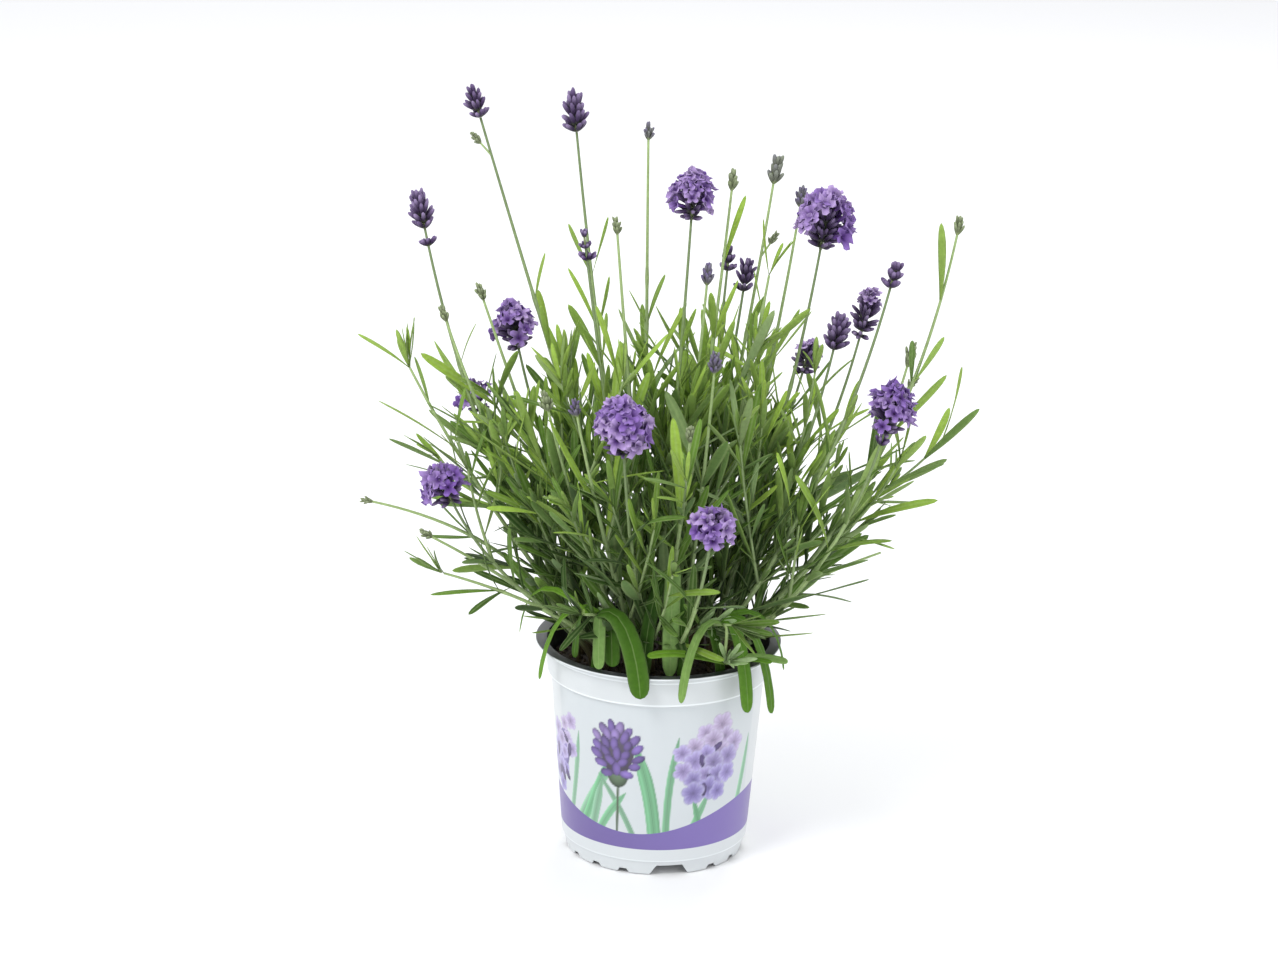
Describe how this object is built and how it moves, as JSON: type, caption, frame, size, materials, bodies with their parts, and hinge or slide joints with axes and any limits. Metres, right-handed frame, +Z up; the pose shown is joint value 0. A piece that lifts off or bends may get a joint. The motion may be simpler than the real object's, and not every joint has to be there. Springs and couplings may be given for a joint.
{
  "type": "potted lavender",
  "caption": "Young lavender bush with purple flower spikes on long stems, standing in a round white plastic nursery pot.",
  "frame": {"origin": "the pot's axis at the surface that the pot stands on, below the middle of the plant", "axes": "+Z up along the pot's axis, -Y towards the front, +X to the right"},
  "size_m": [0.3172, 0.2344, 0.3993],
  "materials": {
    "pot_plastic": "satin white moulding, dark inside, printed sleeve of lavender on a pale ground with a violet band",
    "peat": "rough dark moist peat",
    "lavender_bloom": "soft downy violet calyces and lilac corollas",
    "flower_stem": "finely downy green, woody brown at the foot",
    "bud_stem": "finely downy green with grey-green buds",
    "leafy_shoot": "satin green leaves with pale rolled edges"
  },
  "bodies": {
    "root": {"pot": "pot_plastic", "potting_soil": "peat", "flower_head_01": "lavender_bloom", "flower_head_02": "lavender_bloom", "flower_head_03": "lavender_bloom", "flower_head_04": "lavender_bloom", "flower_head_05": "lavender_bloom", "flower_head_06": "lavender_bloom", "flower_head_07": "lavender_bloom", "flower_head_08": "lavender_bloom", "flower_head_09": "lavender_bloom", "flower_head_10": "lavender_bloom", "flower_head_11": "lavender_bloom", "flower_head_12": "lavender_bloom", "flower_head_13": "lavender_bloom", "flower_head_14": "lavender_bloom", "flower_head_15": "lavender_bloom", "flower_head_16": "lavender_bloom", "flower_head_17": "lavender_bloom", "flower_head_18": "lavender_bloom", "flower_stem_01": "flower_stem", "flower_stem_02": "flower_stem", "flower_stem_03": "flower_stem", "flower_stem_04": "flower_stem", "flower_stem_05": "flower_stem", "flower_stem_06": "flower_stem", "flower_stem_07": "flower_stem", "flower_stem_08": "flower_stem", "flower_stem_09": "flower_stem", "flower_stem_10": "flower_stem", "flower_stem_11": "flower_stem", "flower_stem_12": "flower_stem", "flower_stem_13": "flower_stem", "flower_stem_14": "flower_stem", "flower_stem_15": "flower_stem", "flower_stem_16": "flower_stem", "flower_stem_17": "flower_stem", "flower_stem_18": "flower_stem", "bud_stem_01": "bud_stem", "bud_stem_02": "bud_stem", "bud_stem_03": "bud_stem", "bud_stem_04": "bud_stem", "bud_stem_05": "bud_stem", "bud_stem_06": "bud_stem", "bud_stem_07": "bud_stem", "bud_stem_08": "bud_stem", "bud_stem_09": "bud_stem", "bud_stem_10": "bud_stem", "bud_stem_11": "bud_stem", "bud_stem_12": "bud_stem", "bud_stem_13": "bud_stem", "bud_stem_14": "bud_stem", "bud_stem_15": "bud_stem", "bud_stem_16": "bud_stem", "leafy_shoot_01": "leafy_shoot", "leafy_shoot_02": "leafy_shoot", "leafy_shoot_03": "leafy_shoot", "leafy_shoot_04": "leafy_shoot", "leafy_shoot_05": "leafy_shoot", "leafy_shoot_06": "leafy_shoot"}
  },
  "joints": []
}
